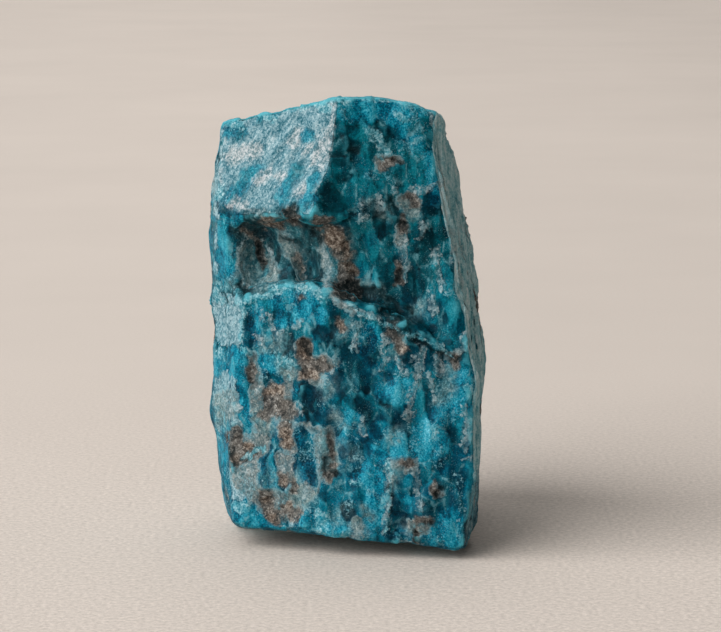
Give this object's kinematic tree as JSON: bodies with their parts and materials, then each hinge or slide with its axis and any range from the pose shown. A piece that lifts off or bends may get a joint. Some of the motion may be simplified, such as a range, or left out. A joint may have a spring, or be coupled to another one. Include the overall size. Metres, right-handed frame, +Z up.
{
  "type": "raw apatite",
  "caption": "Rough upright chunk of blue apatite with broken faces, a ledge across its front and an undercut hollow above it, standing on a flat broken base.",
  "frame": {"origin": "middle of the stone's box, at the bottom: on the surface that the stone stands on", "axes": "+Z up along the stone's longest side, -Y towards the broad front with the ledge, +X towards the splintery side"},
  "size_m": [0.031, 0.035, 0.05],
  "materials": {
    "apatite": "broken crystal, teal blue, frosted in places, with pale veins and brown matrix"
  },
  "bodies": {
    "root": {"apatite": "apatite"}
  },
  "joints": []
}
